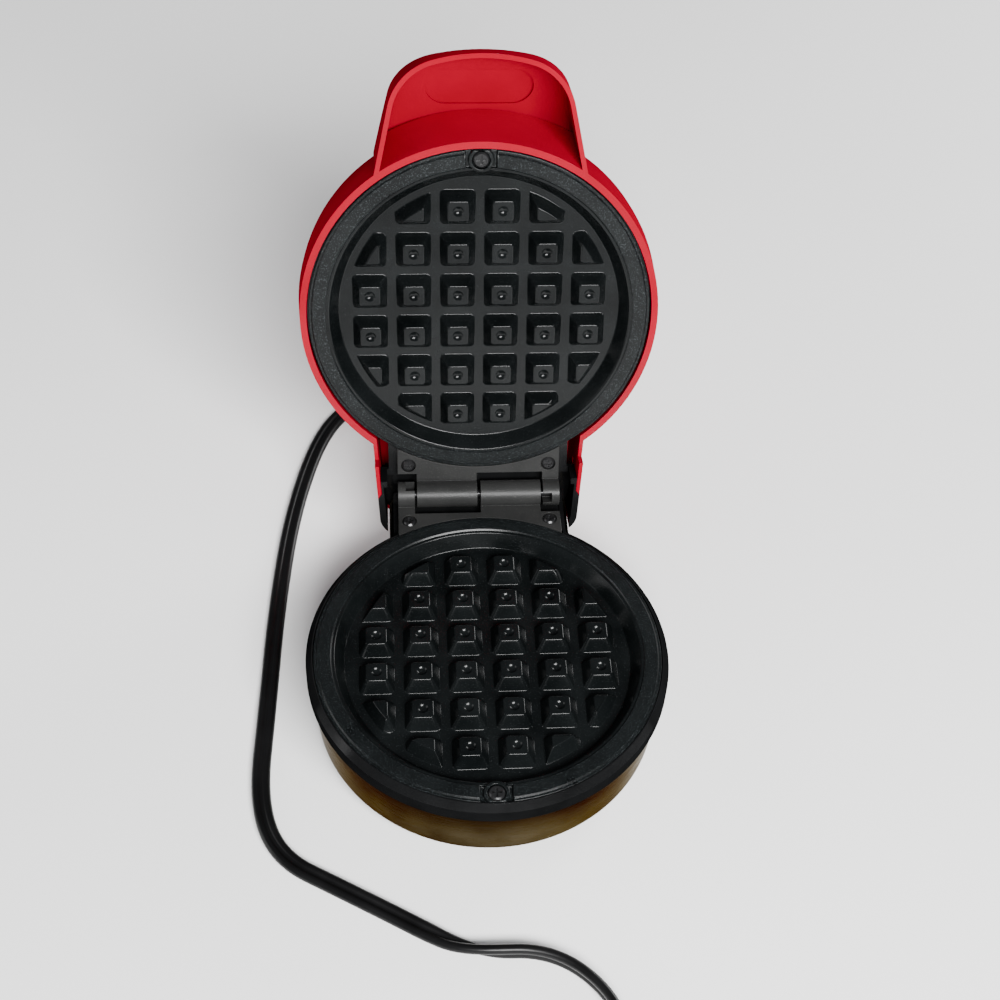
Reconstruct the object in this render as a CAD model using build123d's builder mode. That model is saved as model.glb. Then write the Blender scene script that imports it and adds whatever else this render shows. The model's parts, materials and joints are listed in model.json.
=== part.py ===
"""Mini waffle maker: a round base with a steel shell, and a hinged lid in a glossy moulded cover.

The table is z = 0, the centre of the round plates is x = y = 0, and the handle points to -Y.
The pieces of the lid are drawn closed over the base, then swung open to the lid's stop, where they rest.
"""

import os
from math import atan2, cos, degrees, hypot, radians, sin, tan

from build123d import *

os.makedirs("parts", exist_ok=True)

# Heights, in millimetres: the foot, then each half's depth from the tops of its waffle posts
foot_stand = 2.6
base_depth = 31.4
lid_depth = 34.0
plate_gap = 3.0
cooking_z = foot_stand + base_depth
mid_z = cooking_z + plate_gap / 2
open_angle = 109.6

# Waffle plates: posts on a square grid, cut by a circle, in a round pan with a flat rim
post_pitch = 15.0
posts_across = 6
post_height = 4.85
post_base = 11.8
post_top = 6.95
post_corner = 1.0
post_circle = 45.6
dimple_width = 3.6
dimple_depth = 0.9
pan_margin = 2.8
pan_wall_lean = 3.2
pan_wall = 0.6
pan_heel = 1.2
pan_floor_thickness = 3.0
rim_width = 7.0
rim_height = 0.6
rim_thickness = 2.4
rim_step = 0.45
rim_step_width = 0.9
bead_width = 1.4
bead_drop = 0.5
notch_width = 10.4
notch_depth = 1.5
plate_screw_inset = 3.4
plate_boss_radius = 4.2
pan_floor_radius = post_circle + pan_margin
pan_mouth_radius = pan_floor_radius + pan_wall_lean
pan_outer_radius = pan_mouth_radius + pan_wall
plate_radius = pan_mouth_radius + rim_width
rim_radius = plate_radius - bead_width
plate_screw_y = plate_screw_inset - plate_radius

# Hinge brackets: a flat pad with a barrel on one side and an ear on the other
hinge_reach = 10.4
hinge_y = plate_radius + hinge_reach
hinge_z = mid_z
pin_radius = 1.5
pin_clearance = 0.05
pin_inset = 0.7
pin_chamfer = 0.375
barrel_radius = 4.75
barrel_inner_x = 0.6
barrel_length = 21.7
barrel_outer_x = barrel_inner_x + barrel_length
ear_gap = 0.8
ear_width = 6.0
ear_inner_x = barrel_outer_x + ear_gap
ear_outer_x = ear_inner_x + ear_width
ear_slot_length = 3.2
ear_slot_width = 3.8
bracket_thickness = 3.0
bracket_drop = 0.5
bracket_gap = 2.6
bracket_arc_clearance = 0.5
bracket_pocket = 1.4
bracket_screw_inset = 3.9
bracket_screw_reach = 10.7
bracket_screw_x = ear_outer_x - bracket_screw_inset
bracket_screw_y = hinge_y - bracket_screw_reach
barrel_trough = 0.6

# Base: steel shell, black frame on its mouth, cover under it
shell_wall = 0.8
frame_rim = 2.6
frame_overhang = 1.2
shell_taper = 1.7
seam_drop = 7.2
shell_edge_radius = 4.0
neck_side_gap = 3.2
neck_reach = 7.0
neck_corner = 3.4
neck_root_fillet = 5.0
frame_shoulder_drop = 2.2
frame_lip = 0.4
frame_lip_drop = 0.3
frame_wall = 4.0
plate_clearance = 0.25
seat_clearance = 0.3
ledge_width = 4.0
ledge_thickness = 2.4
skirt_depth = 4.3
deck_thickness = 3.0
cover_thickness = 1.8
cover_boss_drop = 0.4
post_overlap = 0.8
post_angle = radians(30)
neck_post_inset = 7.3
neck_post_reach = 9.0
foot_clearance = 0.1
floor_flange = 9.5
foot_radius = 6.0
foot_pocket = 0.7
front_foot_inset = 16.6
front_foot_angle = radians(45)
rear_foot_x = 14.0
rear_foot_reach = 18.0
vent_length = 26.0
vent_width = 2.4
vent_pitch = 6.0
vent_count = 7
frame_radius = plate_radius + frame_rim
shell_seam_radius = frame_radius - frame_overhang
shell_foot_radius = shell_seam_radius - shell_taper
ledge_radius = plate_radius - ledge_width
neck_half_width = ear_outer_x + neck_side_gap
neck_back = hinge_y + neck_reach

# Screws: pan heads with a cross recess
screw_head_radius = 2.75
screw_head_height = 1.6
screw_edge = 0.6
screw_shank_radius = 1.4
screw_length = 9.0
small_head_radius = 2.3
cross_share = 0.6
cross_width = 0.8
cross_depth = 0.9
screw_post_radius = 3.5

# Lid cover: round dome, scooped handle in front, hollow tail round the hinge
lid_wall = 2.3
lip_overhang = 0.3
lip_gap = 2.4
lid_side_flare = 0.8
lid_side_rise = 12.0
dome_edge_inset = 0.2
dome_edge_drop = 5.0
dome_shoulder_radius = 15.0
lip_radius = frame_radius + lip_overhang
lid_side_radius = lip_radius + lid_side_flare
dome_edge_radius = lip_radius - dome_edge_inset
handle_length = 28.8
handle_root_inset = 11.5
handle_root_half_width = 35.4
handle_nose_half_width = 28.3
handle_bow = 7.0
handle_corner_radius = 20.0
handle_tip_rise = 6.5
handle_top_drop = 4.5
handle_top_bow = 3.0
handle_edge_radius = 4.5
handle_reach = lip_radius + handle_length
handle_root_y = handle_root_inset - lip_radius
scoop_wall = 1.6
scoop_lean = 4.5
scoop_depth = 21.0
scoop_ceiling = 2.4
scoop_edge_radius = 3.2
recess_length = 36.0
recess_width = 14.0
recess_depth = 1.2
recess_reach = 15.3
neck_clearance = 0.6
tail_reach = 14.0
tail_root_inset = 21.5
tail_flare = 3.0
tail_corner = 7.0
tail_top_drop = 4.0
tail_slope = 6.0
tail_edge_radius = 4.0
tail_skirt = 5.4
tail_skirt_reach = 14.0
stop_gap = 0.3
flange_rise = 10.0
flange_width = 2.4
flange_thickness = 1.6
lid_wall_reach = 5.6
tail_wall = 1.4
liner_fit = 0.1
liner_lip = 1.6
liner_lip_start = 2.0
liner_lip_slant = 8.0
hinge_cover_thickness = 1.6
tail_back = hinge_y + tail_reach
tail_root_y = lip_radius - tail_root_inset
tail_back_half_width = neck_half_width + neck_clearance + lid_wall
tail_root_half_width = tail_back_half_width + tail_flare
lid_wall_back = hinge_y - lid_wall_reach

# Heating: a tubular ring in each plate, a dished reflector behind it, and the controls in the base
heater_tube = 6.4
heater_inset = 12.4
heater_gap_angle = 40.0
heater_leg = 10.0
heater_seat = 1.0
reflector_thickness = 0.5
reflector_lip = 0.7
reflector_floor_margin = 6.0
reflector_rim_margin = 11.0
reflector_drop = 9.0
thermostat_radius = 7.0
thermostat_height = 8.0
fuse_radius = 2.0
fuse_length = 14.0
fuse_x = 14.0
fuse_y = 0.0
terminal_length = 22.0
terminal_width = 8.0
terminal_height = 8.0
terminal_reach = 10.0
terminal_y = neck_back - terminal_reach
heater_radius = pan_floor_radius - heater_inset
reflector_floor_radius = heater_radius + reflector_floor_margin
reflector_rim_radius = heater_radius + reflector_rim_margin

# Indicator on the crown
lens_radius = 3.2
lens_inset = 27.5
lens_rise = 1.0
lens_edge_radius = 0.7
lens_depth = 7.3
lamp_radius = 2.5
lamp_clearance = 0.85
lens_y = lens_inset - lip_radius

# Cord: a flat two-core lead, its strain relief on the neck, and a two-blade plug
cord_width = 6.4
cord_height = 3.3
cord_edge_radius = 1.4
cord_lift = 0.05
cord_arc_share = 0.45
cord_gap = 12.0
relief_z = 7.6
relief_length = 14.0
relief_radius = 4.6
relief_stem_radius = 3.4
relief_flange = 2.0
relief_stem_length = 5.0
relief_ribs = 4
relief_taper = 1.0
rib_depth = 0.8
plug_length = 30.0
plug_width = 24.0
plug_height = 14.0
plug_corner = 3.0
plug_shoulder = 21.0
plug_waist = 13.0
plug_waist_width = 19.0
plug_waist_height = 11.0
plug_neck_width = 10.0
plug_neck_height = 7.4
blade_length = 17.0
blade_width = 6.3
blade_thickness = 1.5
blade_spacing = 12.7

hinge_axis = Axis((0, hinge_y, hinge_z), (1, 0, 0))
flip_axis = Axis((0, 0, mid_z), (0, 1, 0))


def write(part, name):
    """Label a finished piece and write it."""
    part.label = name
    export_step(part, f"parts/{name}.step")


def opened(part):
    """Swing a piece of the lid from closed to its stop."""
    return part.rotate(hinge_axis, -open_angle)


def flipped(part):
    """Turn a piece of the base over, to face it from the closed lid."""
    return part.rotate(flip_axis, 180)


def arc_radius(half_chord, height):
    """Radius of the arc that rises by a height over the middle of its chord."""
    return (half_chord**2 + height**2) / (2 * height)


def keyhole(radius, half_width, back, corner):
    """Outline of the round body with the straight neck that carries the hinge."""
    with BuildSketch() as outline:
        Circle(radius)
        with Locations((0, back / 2)):
            Rectangle(2 * half_width, back)
        corners = outline.vertices().sort_by(Axis.Y)
        fillet(corners[-4:-2], neck_root_fillet)
        fillet(outline.vertices().sort_by(Axis.Y)[-2:], corner)
    return outline.sketch


def turned(points):
    """Solid of revolution about the plates' axis, from a closed outline of (radius, z) points."""
    with BuildPart() as piece:
        with BuildSketch(Plane.XZ):
            with BuildLine():
                Polyline(*points, close=True)
            make_face()
        revolve(axis=Axis.Z)
    return piece.part


def screw(head_radius, length):
    """Pan-head screw with a cross recess: the top of its head is z = 0, its shank points down."""
    with BuildPart() as piece:
        with BuildSketch(Plane.XY.offset(-screw_head_height)):
            Circle(head_radius)
        extrude(amount=screw_head_height)
        chamfer(piece.edges().group_by(Axis.Z)[-1], screw_edge)
        with BuildSketch(Plane.XY.offset(-screw_head_height)):
            Circle(screw_shank_radius)
        extrude(amount=-length)
        with BuildSketch():
            Rectangle(2 * cross_share * head_radius, cross_width)
            Rectangle(cross_width, 2 * cross_share * head_radius)
        extrude(amount=-cross_depth, mode=Mode.SUBTRACT)
    return piece.part


# Waffle plate, drawn with its post tops at z = 0
half_grid = (posts_across - 1) / 2
post_places = [
    ((column - half_grid) * post_pitch, (row - half_grid) * post_pitch)
    for column in range(posts_across)
    for row in range(posts_across)
]
post_places = [(x, y) for x, y in post_places if hypot(x, y) < post_circle + post_top / 2]
half_post = post_base / 2
whole_places = [
    (x, y) for x, y in post_places if hypot(abs(x) + half_post, abs(y) + half_post) < post_circle
]
post_lean = (post_base - post_top) / 2
dimple_radius = arc_radius(dimple_width / 2, dimple_depth)
pan_floor = -post_height
pan_under = pan_floor - pan_floor_thickness
rim_under = rim_height - rim_thickness
heater_drop = pan_under - heater_tube / 2 + heater_seat

with BuildPart() as post:
    with BuildSketch(Plane.XY.offset(pan_floor)):
        RectangleRounded(post_base, post_base, post_corner * post_base / post_top)
    with BuildSketch():
        RectangleRounded(post_top, post_top, post_corner)
    loft(ruled=True)

with BuildPart() as posts:
    with Locations(*post_places):
        add(post.part)
    add(
        turned([(0, pan_floor), (post_circle, pan_floor), (post_circle - post_lean, 0), (0, 0)]),
        mode=Mode.INTERSECT,
    )

with BuildPart() as plate:
    add(
        turned(
            [
                (0, pan_floor),
                (pan_floor_radius, pan_floor),
                (pan_mouth_radius, rim_height - rim_step),
                (pan_mouth_radius + rim_step_width, rim_height - rim_step),
                (pan_mouth_radius + rim_step_width + rim_step, rim_height),
                (rim_radius, rim_height),
                (rim_radius + bead_drop, rim_height - bead_drop),
                (plate_radius, rim_height - bead_drop),
                (plate_radius, rim_under),
                (pan_outer_radius, rim_under),
                (pan_floor_radius + pan_wall + pan_heel, pan_under),
                (0, pan_under),
            ]
        )
    )
    add(posts.part)
    with Locations(*[(x, y, dimple_radius - dimple_depth) for x, y in whole_places]):
        Sphere(dimple_radius, mode=Mode.SUBTRACT)
    with BuildSketch(Plane.XY.offset(rim_height)):
        with Locations((0, plate_screw_y)):
            Rectangle(notch_width, 2 * (-plate_screw_y - pan_mouth_radius - rim_step_width))
        with Locations((0, -plate_radius)):
            Rectangle(notch_width, 2 * (plate_radius + plate_screw_y))
    extrude(amount=-notch_depth, mode=Mode.SUBTRACT)
    with BuildSketch(Plane.XY.offset(rim_height - notch_depth)):
        with Locations((0, plate_screw_y)):
            Circle(plate_boss_radius)
        Circle(plate_radius, mode=Mode.INTERSECT)
    extrude(amount=notch_depth)
    with BuildSketch(Plane.XY.offset(rim_height)):
        with Locations((0, plate_screw_y)):
            Circle(screw_head_radius + plate_clearance)
    extrude(amount=-notch_depth, mode=Mode.SUBTRACT)
    with Locations((0, plate_screw_y, rim_height)):
        Cylinder(screw_shank_radius, 4 * rim_thickness, mode=Mode.SUBTRACT)
    with BuildSketch(Plane.XZ):
        with Locations((heater_radius, heater_drop)):
            Circle(heater_tube / 2)
    revolve(axis=Axis.Z, mode=Mode.SUBTRACT)

lower_plate = plate.part.moved(Location((0, 0, cooking_z)))
write(lower_plate, "lower_plate")
write(opened(flipped(lower_plate)), "upper_plate")

# Screw through the notch of each plate
plate_screw_z = cooking_z + rim_height - notch_depth + screw_head_height
plate_screw_place = Location((0, plate_screw_y, plate_screw_z))
lower_plate_screw = screw(screw_head_radius, screw_length).moved(plate_screw_place)
write(lower_plate_screw, "lower_plate_screw")
write(opened(flipped(lower_plate_screw)), "upper_plate_screw")

# Heating ring, seated in its groove under the plate, with two legs down to the wires
heater_z = cooking_z + heater_drop
gap_half = radians(heater_gap_angle / 2)
leg_x = heater_radius * sin(gap_half)
leg_y = heater_radius * cos(gap_half)

with BuildPart() as lower_heater:
    with BuildLine(Plane.XY.offset(heater_z)) as ring_path:
        CenterArc((0, 0), heater_radius, 90 + heater_gap_angle / 2, 360 - heater_gap_angle)
    with BuildSketch(Plane(origin=ring_path.line @ 0, z_dir=ring_path.line % 0)):
        Circle(heater_tube / 2)
    sweep(path=ring_path.line)
    with BuildSketch(Plane.XY.offset(heater_z)):
        with Locations((-leg_x, leg_y), (leg_x, leg_y)):
            Circle(heater_tube / 2)
    extrude(amount=-heater_leg)

write(lower_heater.part, "lower_heater")
write(opened(flipped(lower_heater.part)), "upper_heater")

# Reflector: a thin dish behind the heating ring, its rim against the plate
plate_back_z = cooking_z + pan_under
reflector_z = plate_back_z - reflector_drop

with BuildPart() as lower_reflector:
    add(
        turned(
            [
                (0, reflector_z),
                (reflector_floor_radius, reflector_z),
                (reflector_rim_radius, plate_back_z),
                (reflector_rim_radius - reflector_lip, plate_back_z),
                (reflector_floor_radius - reflector_thickness, reflector_z + reflector_thickness),
                (0, reflector_z + reflector_thickness),
            ]
        )
    )
    with BuildSketch(Plane.XY.offset(reflector_z)):
        with Locations((-leg_x, leg_y), (leg_x, leg_y)):
            Circle(heater_tube / 2 + seat_clearance)
        Circle(thermostat_radius + seat_clearance)
    extrude(amount=reflector_thickness, mode=Mode.SUBTRACT)

write(lower_reflector.part, "lower_reflector")
write(opened(flipped(lower_reflector.part)), "upper_reflector")

# Hinge bracket, cast in one: a pad with screws, a barrel right of the middle and an ear on the left
bracket_top_z = cooking_z - bracket_drop
deck_z = bracket_top_z - bracket_thickness
bracket_arc = plate_radius + bracket_arc_clearance
bracket_notch_y = hinge_y - barrel_radius - bracket_gap
bracket_screw_z = bracket_top_z - bracket_pocket + screw_head_height
bracket_screws = [(-bracket_screw_x, bracket_screw_y), (bracket_screw_x, bracket_screw_y)]


def hinge_bracket(bore_radius):
    """Bracket of the base; turned over, the same casting serves the lid."""
    with BuildPart() as bracket:
        with BuildSketch(Plane.XY.offset(deck_z)):
            with Locations((0, hinge_y - bracket_arc / 2)):
                Rectangle(2 * ear_outer_x, bracket_arc)
            Circle(bracket_arc, mode=Mode.SUBTRACT)
            with Locations((-ear_inner_x, bracket_notch_y)):
                Rectangle(
                    ear_inner_x + barrel_inner_x,
                    bracket_arc,
                    align=(Align.MIN, Align.MIN),
                    mode=Mode.SUBTRACT,
                )
            with Locations((barrel_outer_x, bracket_notch_y)):
                Rectangle(ear_outer_x, bracket_arc, align=(Align.MIN, Align.MIN), mode=Mode.SUBTRACT)
        extrude(amount=bracket_thickness)
        for low_x, high_x in ((barrel_inner_x, barrel_outer_x), (-ear_outer_x, -ear_inner_x)):
            with BuildSketch(Plane.YZ.offset(low_x)):
                with Locations((hinge_y, hinge_z)):
                    Circle(barrel_radius)
            extrude(amount=high_x - low_x)
        with Locations((-ear_inner_x, hinge_y, hinge_z)):
            Box(
                ear_slot_length,
                ear_slot_width,
                2 * barrel_radius,
                align=(Align.MAX, Align.CENTER, Align.MIN),
                mode=Mode.SUBTRACT,
            )
        with BuildSketch(Plane.YZ.offset(-ear_outer_x)):
            with Locations((hinge_y, hinge_z)):
                Circle(bore_radius)
        extrude(amount=ear_outer_x + barrel_outer_x, mode=Mode.SUBTRACT)
        with BuildSketch(Plane.XY.offset(bracket_top_z)):
            with Locations(*bracket_screws):
                Circle(small_head_radius + seat_clearance)
        extrude(amount=-bracket_pocket, mode=Mode.SUBTRACT)
        with BuildSketch(Plane.XY.offset(bracket_top_z)):
            with Locations(*bracket_screws):
                Circle(screw_shank_radius)
        extrude(amount=-bracket_thickness, mode=Mode.SUBTRACT)
    return bracket.part


write(hinge_bracket(pin_radius), "lower_hinge_bracket")
write(opened(flipped(hinge_bracket(pin_radius + pin_clearance))), "upper_hinge_bracket")

with BuildPart() as hinge_pin:
    with BuildSketch(Plane.YZ.offset(pin_inset - ear_outer_x)):
        with Locations((hinge_y, hinge_z)):
            Circle(pin_radius)
    extrude(amount=2 * (ear_outer_x - pin_inset))
    pin_ends = hinge_pin.edges().group_by(Axis.X)
    chamfer(pin_ends[0] + pin_ends[-1], pin_chamfer)

write(hinge_pin.part, "hinge_pin")

with BuildPart() as lower_hinge_screws:
    with Locations(*[(x, y, bracket_screw_z) for x, y in bracket_screws]):
        add(screw(small_head_radius, screw_length))

write(lower_hinge_screws.part, "lower_hinge_screws")
write(opened(flipped(lower_hinge_screws.part)), "upper_hinge_screws")

# Black frame on the mouth of the base: the plate rests on its ledge and the hinge bracket on its neck
seam_z = cooking_z - seam_drop
ledge_z = cooking_z + rim_under
frame_top_z = cooking_z + rim_height - frame_lip_drop
ledge_mouth = plate_radius + plate_clearance
foot_inset = shell_seam_radius - shell_foot_radius
skirt_inset = shell_wall + seat_clearance + foot_inset * skirt_depth / (seam_z - foot_stand)
skirt_radius = shell_seam_radius - skirt_inset
skirt_inner = skirt_radius - frame_wall
skirt_bottom = seam_z - skirt_depth
deck_half_width = neck_half_width - skirt_inset
deck_back = neck_back - skirt_inset
deck_under = deck_z - deck_thickness
cover_top = foot_stand + shell_wall + cover_thickness
post_ring = skirt_inner + post_overlap - screw_post_radius
front_posts = [(side * post_ring * cos(post_angle), -post_ring * sin(post_angle)) for side in (-1, 1)]
neck_post_x = neck_half_width - neck_post_inset
neck_post_y = neck_back - neck_post_reach
neck_posts = [(-neck_post_x, neck_post_y), (neck_post_x, neck_post_y)]
base_posts = front_posts + neck_posts

with BuildPart() as base_frame:
    for low, high, inset, mode in (
        (skirt_bottom, deck_z, 0, Mode.ADD),
        (skirt_bottom, deck_under, frame_wall, Mode.SUBTRACT),
    ):
        with BuildSketch(Plane.XY.offset(low)):
            add(
                keyhole(
                    skirt_radius - inset,
                    deck_half_width - inset,
                    deck_back - inset,
                    neck_corner / 2,
                )
            )
        extrude(amount=high - low, mode=mode)
    add(
        turned(
            [
                (ledge_radius, ledge_z),
                (ledge_mouth, ledge_z),
                (ledge_mouth, frame_top_z),
                (ledge_mouth + frame_lip, frame_top_z),
                (frame_radius, cooking_z - frame_shoulder_drop),
                (frame_radius, seam_z),
                (ledge_radius, seam_z),
            ]
        )
    )
    with BuildSketch(Plane.XY.offset(skirt_bottom)):
        Circle(ledge_radius)
    extrude(amount=frame_top_z - skirt_bottom, mode=Mode.SUBTRACT)
    with BuildSketch(Plane.XY.offset(skirt_bottom)):
        Circle(skirt_inner)
    extrude(amount=ledge_z - ledge_thickness - skirt_bottom, mode=Mode.SUBTRACT)
    with BuildSketch(Plane.XY.offset(deck_z)):
        with Locations((0, ledge_radius / 2)):
            Rectangle(2 * (ear_outer_x + seat_clearance), frame_radius, align=(Align.CENTER, Align.MIN))
        Circle(ledge_mouth, mode=Mode.SUBTRACT)
    extrude(amount=frame_radius, mode=Mode.SUBTRACT)
    with Locations((0, bracket_notch_y, deck_z)):
        Box(
            2 * (ear_outer_x + seat_clearance),
            frame_radius,
            2 * barrel_trough,
            align=(Align.CENTER, Align.MIN, Align.CENTER),
            mode=Mode.SUBTRACT,
        )
    for places, top in ((front_posts, plate_back_z - seat_clearance), (neck_posts, deck_under)):
        with BuildSketch(Plane.XY.offset(cover_top)):
            with Locations(*places):
                Circle(screw_post_radius)
        extrude(amount=top - cover_top)
    with BuildSketch(Plane.XY.offset(skirt_bottom)):
        with Locations((0, plate_screw_y)):
            Circle(2 * screw_shank_radius)
    extrude(amount=ledge_z - skirt_bottom)
    with BuildSketch(Plane.XY.offset(deck_under - skirt_depth)):
        with Locations(*bracket_screws):
            Circle(2 * screw_shank_radius)
    extrude(amount=skirt_depth)
    screw_holes = [(0, plate_screw_y, ledge_z)]
    screw_holes += [(x, y, deck_z) for x, y in bracket_screws]
    screw_holes += [(x, y, cover_top) for x, y in base_posts]
    with Locations(*screw_holes):
        Cylinder(screw_shank_radius, 2 * screw_length, mode=Mode.SUBTRACT)

write(base_frame.part, "base_frame")

# Steel shell of the base: a drawn tub with a rounded foot and a flange round its open floor
shell_draft = degrees(atan2(foot_inset, seam_z - foot_stand))


def tub(inset, floor_z, edge):
    """Drafted keyhole tub, inset from the shell's outside, with a rounded foot edge."""
    with BuildPart() as body:
        inward = foot_inset - (floor_z - foot_stand) * tan(radians(shell_draft)) + inset
        with BuildSketch(Plane.XY.offset(floor_z)):
            add(
                keyhole(
                    shell_seam_radius - inward,
                    neck_half_width - inward,
                    neck_back - inward,
                    neck_corner - inset,
                )
            )
        extrude(amount=seam_z - floor_z, taper=-shell_draft)
        fillet(body.edges().group_by(Axis.Z)[0], edge)
    return body.part


def floor_outline(inset):
    """Outline of the shell's floor, drawn inwards."""
    inward = foot_inset + inset
    return keyhole(
        shell_seam_radius - inward,
        neck_half_width - inward,
        neck_back - inward,
        neck_corner / 2,
    )


with BuildPart() as base_shell:
    add(tub(0, foot_stand, shell_edge_radius))
    add(tub(shell_wall, foot_stand + shell_wall, shell_edge_radius - shell_wall), mode=Mode.SUBTRACT)
    with BuildSketch(Plane.XY.offset(foot_stand)):
        add(floor_outline(floor_flange))
        with Locations(*base_posts):
            Circle(screw_shank_radius)
    extrude(amount=shell_wall, mode=Mode.SUBTRACT)
    with BuildSketch(Plane.XZ.offset(-neck_back)):
        with Locations((0, relief_z)):
            Circle(relief_stem_radius)
    extrude(amount=2 * shell_edge_radius, mode=Mode.SUBTRACT)

write(base_shell.part, "base_shell")

# Cover that closes the shell's floor, with cooling slots and pockets for the feet
cover_seat_z = foot_stand + shell_wall
boss_z = foot_stand - cover_boss_drop
front_foot_ring = shell_foot_radius - front_foot_inset
front_foot_x = front_foot_ring * cos(front_foot_angle)
front_foot_y = -front_foot_ring * sin(front_foot_angle)
rear_foot_y = neck_back - rear_foot_reach
foot_places = [
    (-front_foot_x, front_foot_y),
    (front_foot_x, front_foot_y),
    (-rear_foot_x, rear_foot_y),
    (rear_foot_x, rear_foot_y),
]

with BuildPart() as bottom_cover:
    for inset, low, high in (
        (shell_edge_radius + seat_clearance, cover_seat_z, cover_top),
        (floor_flange + plate_clearance, boss_z, cover_seat_z),
    ):
        with BuildSketch(Plane.XY.offset(low)):
            add(floor_outline(inset))
        extrude(amount=high - low)
    with BuildSketch(Plane.XY.offset(boss_z)):
        with GridLocations(0, vent_pitch, 1, vent_count):
            SlotOverall(vent_length, vent_width)
    extrude(amount=cover_top - boss_z, mode=Mode.SUBTRACT)
    with BuildSketch(Plane.XY.offset(boss_z)):
        with Locations(*foot_places):
            Circle(foot_radius + foot_clearance)
    extrude(amount=foot_pocket, mode=Mode.SUBTRACT)
    with BuildSketch(Plane.XY.offset(boss_z)):
        with Locations(*base_posts):
            Circle(screw_shank_radius)
    extrude(amount=cover_top - boss_z, mode=Mode.SUBTRACT)

write(bottom_cover.part, "bottom_cover")

# Four rubber feet, bevelled where they meet the table
with BuildPart() as feet:
    with BuildSketch():
        with Locations(*foot_places):
            Circle(foot_radius)
    extrude(amount=boss_z + foot_pocket)
    chamfer(feet.edges().group_by(Axis.Z)[0], foot_pocket)

write(feet.part, "feet")

# Screws up through the shell and the cover into the posts of the frame
with BuildPart() as bottom_screws:
    bottom_screw_z = foot_stand - screw_head_height
    with Locations(*[Location((x, y, bottom_screw_z), (180, 0, 0)) for x, y in base_posts]):
        add(screw(small_head_radius, screw_length))

write(bottom_screws.part, "bottom_screws")

# Lid cover, drawn closed
lip_z = cooking_z + lip_gap
crown_z = cooking_z + plate_gap + lid_depth
stop_slope = radians(open_angle - 90)


def stop_z(y):
    """Height of the closed tail's edge that meets the back of the neck when the lid is open."""
    reach = neck_back - hinge_y + stop_gap
    return hinge_z + (reach + (y - hinge_y) * sin(stop_slope)) / cos(stop_slope)


def dome(inset):
    """Round body of the lid, inset from its outside."""
    edge = (dome_edge_radius - inset, crown_z - dome_edge_drop - inset)
    with BuildPart() as body:
        with BuildSketch(Plane.XZ) as half:
            with BuildLine():
                Polyline(
                    (0, lip_z),
                    (lip_radius - inset, lip_z),
                    (lid_side_radius - inset, lip_z + lid_side_rise),
                    edge,
                )
                RadiusArc(edge, (0, crown_z - inset), -arc_radius(edge[0], dome_edge_drop))
                Line((0, crown_z - inset), (0, lip_z))
            make_face()
            shoulder = half.vertices().sort_by_distance((edge[0], edge[1], 0))[0]
            fillet(shoulder, dome_shoulder_radius - inset)
        revolve(axis=Axis.Z)
    return body.part


def handle_block(inset, drop, edge):
    """Handle in front of the dome: a D outline under a top that slopes down to the tip."""
    root_top = (handle_root_y, crown_z - handle_top_drop - drop)
    tip_top = (-handle_reach, lip_z + handle_tip_rise - drop)
    middle = (
        (root_top[0] + tip_top[0] - handle_top_bow) / 2,
        (root_top[1] + tip_top[1]) / 2 + handle_top_bow,
    )
    with BuildPart() as block:
        with BuildSketch(Plane.XY.offset(lip_z)) as outline:
            with BuildLine():
                nose_y = handle_bow - handle_reach
                left = (-handle_nose_half_width, nose_y)
                right = (handle_nose_half_width, nose_y)
                ThreePointArc(left, (0, -handle_reach), right)
                Polyline(
                    right,
                    (handle_root_half_width, handle_root_y),
                    (-handle_root_half_width, handle_root_y),
                    left,
                )
            make_face()
            fillet(outline.vertices().group_by(Axis.Y)[0], handle_corner_radius)
            offset(amount=-inset, mode=Mode.REPLACE)
        extrude(amount=lid_depth)
        with BuildSketch(Plane.YZ.offset(-handle_root_half_width)):
            with BuildLine():
                ThreePointArc(root_top, middle, tip_top)
                Polyline(tip_top, (-handle_reach, lip_z), (handle_root_y, lip_z), root_top)
            make_face()
        extrude(amount=2 * handle_root_half_width, mode=Mode.INTERSECT)
        if edge:
            top = block.faces().filter_by(GeomType.CYLINDER).sort_by(SortBy.AREA)[-1]
            rounded = [e for e in top.edges() if e.center().Y < handle_root_y - 1]
            fillet(rounded, edge)
    return block.part


def tail_outline(inset):
    """Outline of the tail behind the dome, narrower towards its back."""
    with BuildSketch() as outline:
        with BuildLine():
            Polyline(
                (-tail_root_half_width, tail_root_y),
                (tail_root_half_width, tail_root_y),
                (tail_back_half_width, tail_back),
                (-tail_back_half_width, tail_back),
                close=True,
            )
        make_face()
        fillet(outline.vertices().group_by(Axis.Y)[-1], tail_corner)
        offset(amount=-inset, mode=Mode.REPLACE)
    return outline.sketch


def tail_block(inset, edge):
    """Tail that closes round the neck and the hinge, under a sloping top."""
    with BuildPart() as block:
        with BuildSketch(Plane.XY.offset(lip_z)):
            add(tail_outline(inset))
        extrude(amount=lid_depth)
        with BuildSketch(Plane.YZ.offset(-tail_root_half_width)):
            with BuildLine():
                Polyline(
                    (tail_root_y, lip_z),
                    (tail_back, lip_z),
                    (tail_back, crown_z - tail_top_drop - tail_slope - inset),
                    (tail_root_y, crown_z - tail_top_drop - inset),
                    close=True,
                )
            make_face()
        extrude(amount=2 * tail_root_half_width, mode=Mode.INTERSECT)
        if edge:
            top = block.faces().sort_by(Axis.Z)[-1]
            fillet([side for side in top.edges() if side.center().Y > tail_root_y + 1], edge)
    return block.part


flange_z = lip_z + flange_rise
flange_mouth = lip_radius - lid_wall - flange_width
notch_half_width = neck_half_width + neck_clearance

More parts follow.
